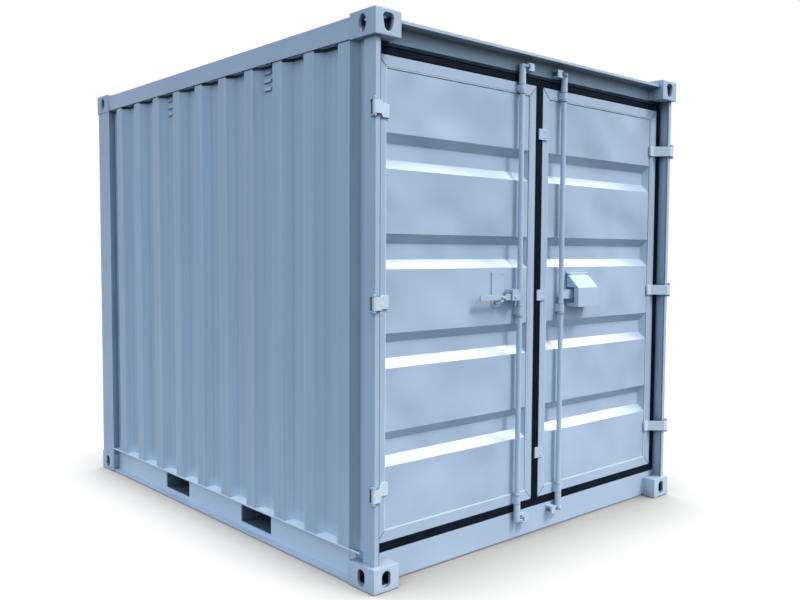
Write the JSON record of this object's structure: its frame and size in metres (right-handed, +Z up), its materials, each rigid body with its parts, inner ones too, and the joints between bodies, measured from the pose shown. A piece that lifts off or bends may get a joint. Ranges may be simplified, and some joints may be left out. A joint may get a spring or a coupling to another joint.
{
  "type": "shipping container",
  "caption": "Steel storage container with corrugated walls, hinged double doors, locking bars, lever cover, forklift pockets and corner castings.",
  "frame": {"origin": "on the ground under the middle of the container", "axes": "+Z up, +Y along the length away from the doors, +X across to the right-hand door as seen from outside"},
  "size_m": [2.438, 2.991, 2.591],
  "materials": {
    "painted_sheet": "satin",
    "cast_corners": "satin",
    "door_gear": "satin",
    "door_rubber": "matte",
    "floor_plywood": "matte"
  },
  "bodies": {
    "container": {"cam_keepers": "door_gear", "crossmembers": "painted_sheet", "door_header": "painted_sheet", "door_sill": "painted_sheet", "floor": "floor_plywood", "left_bottom_rail": "painted_sheet", "left_door_post": "painted_sheet", "left_hinge_lugs": "door_gear", "left_rear_post": "painted_sheet", "left_top_rail": "painted_sheet", "left_vents": "painted_sheet", "left_wall": "painted_sheet", "lower_front_castings": "cast_corners", "lower_rear_castings": "cast_corners", "pocket_plates": "painted_sheet", "pocket_webs": "painted_sheet", "rear_bottom_rail": "painted_sheet", "rear_top_rail": "painted_sheet", "rear_wall": "painted_sheet", "right_bottom_rail": "painted_sheet", "right_door_post": "painted_sheet", "right_hinge_lugs": "door_gear", "right_rear_post": "painted_sheet", "right_top_rail": "painted_sheet", "right_vents": "painted_sheet", "right_wall": "painted_sheet", "roof": "painted_sheet", "upper_front_castings": "cast_corners", "upper_rear_castings": "cast_corners"},
    "left_door": {"handle_catch": "door_gear", "left_bar_bearings": "door_gear", "left_door_frame": "painted_sheet", "left_door_gasket": "door_rubber", "left_door_panel": "painted_sheet", "left_hinge_straps": "door_gear"},
    "handle": {"left_handle": "door_gear"},
    "left_bar": {"left_locking_bar": "door_gear"},
    "lock_cover": {"lock_box": "door_gear"},
    "right_door": {"lock_box_base": "door_gear", "overlap_clips": "door_gear", "right_bar_bearings": "door_gear", "right_door_frame": "painted_sheet", "right_door_gasket": "door_rubber", "right_door_panel": "painted_sheet", "right_hinge_straps": "door_gear"},
    "right_bar": {"right_locking_bar": "door_gear"}
  },
  "joints": [
    {"name": "left_door_swing", "type": "hinge", "parent": "container", "child": "left_door", "pos_m": [-1.209, -1.4815, 1.305], "axis": [0, 0, -1], "range_deg": [0, 250]},
    {"name": "right_door_swing", "type": "hinge", "parent": "container", "child": "right_door", "pos_m": [1.209, -1.4815, 1.305], "axis": [0, 0, 1], "range_deg": [0, 250]},
    {"name": "left_bar_turn", "type": "hinge", "parent": "left_door", "child": "left_bar", "pos_m": [-0.175, -1.4345, 1.305], "axis": [0, 0, 1], "range_deg": [0, 90]},
    {"name": "right_bar_turn", "type": "hinge", "parent": "right_door", "child": "right_bar", "pos_m": [0.175, -1.4345, 1.305], "axis": [0, 0, -1], "range_deg": [0, 90]},
    {"name": "handle_lift", "type": "hinge", "parent": "left_bar", "child": "handle", "pos_m": [-0.243, -1.4535, 1.305], "axis": [0, 1, 0], "range_deg": [0, 40]},
    {"name": "lock_cover_lift", "type": "hinge", "parent": "right_door", "child": "lock_cover", "pos_m": [0.336, -1.4185, 1.418], "axis": [-1, 0, 0], "range_deg": [0, 100]}
  ],
  "couplings": [
    {"joint": "lock_cover_lift", "follows": "right_bar_turn", "ratio": 1.1}
  ]
}
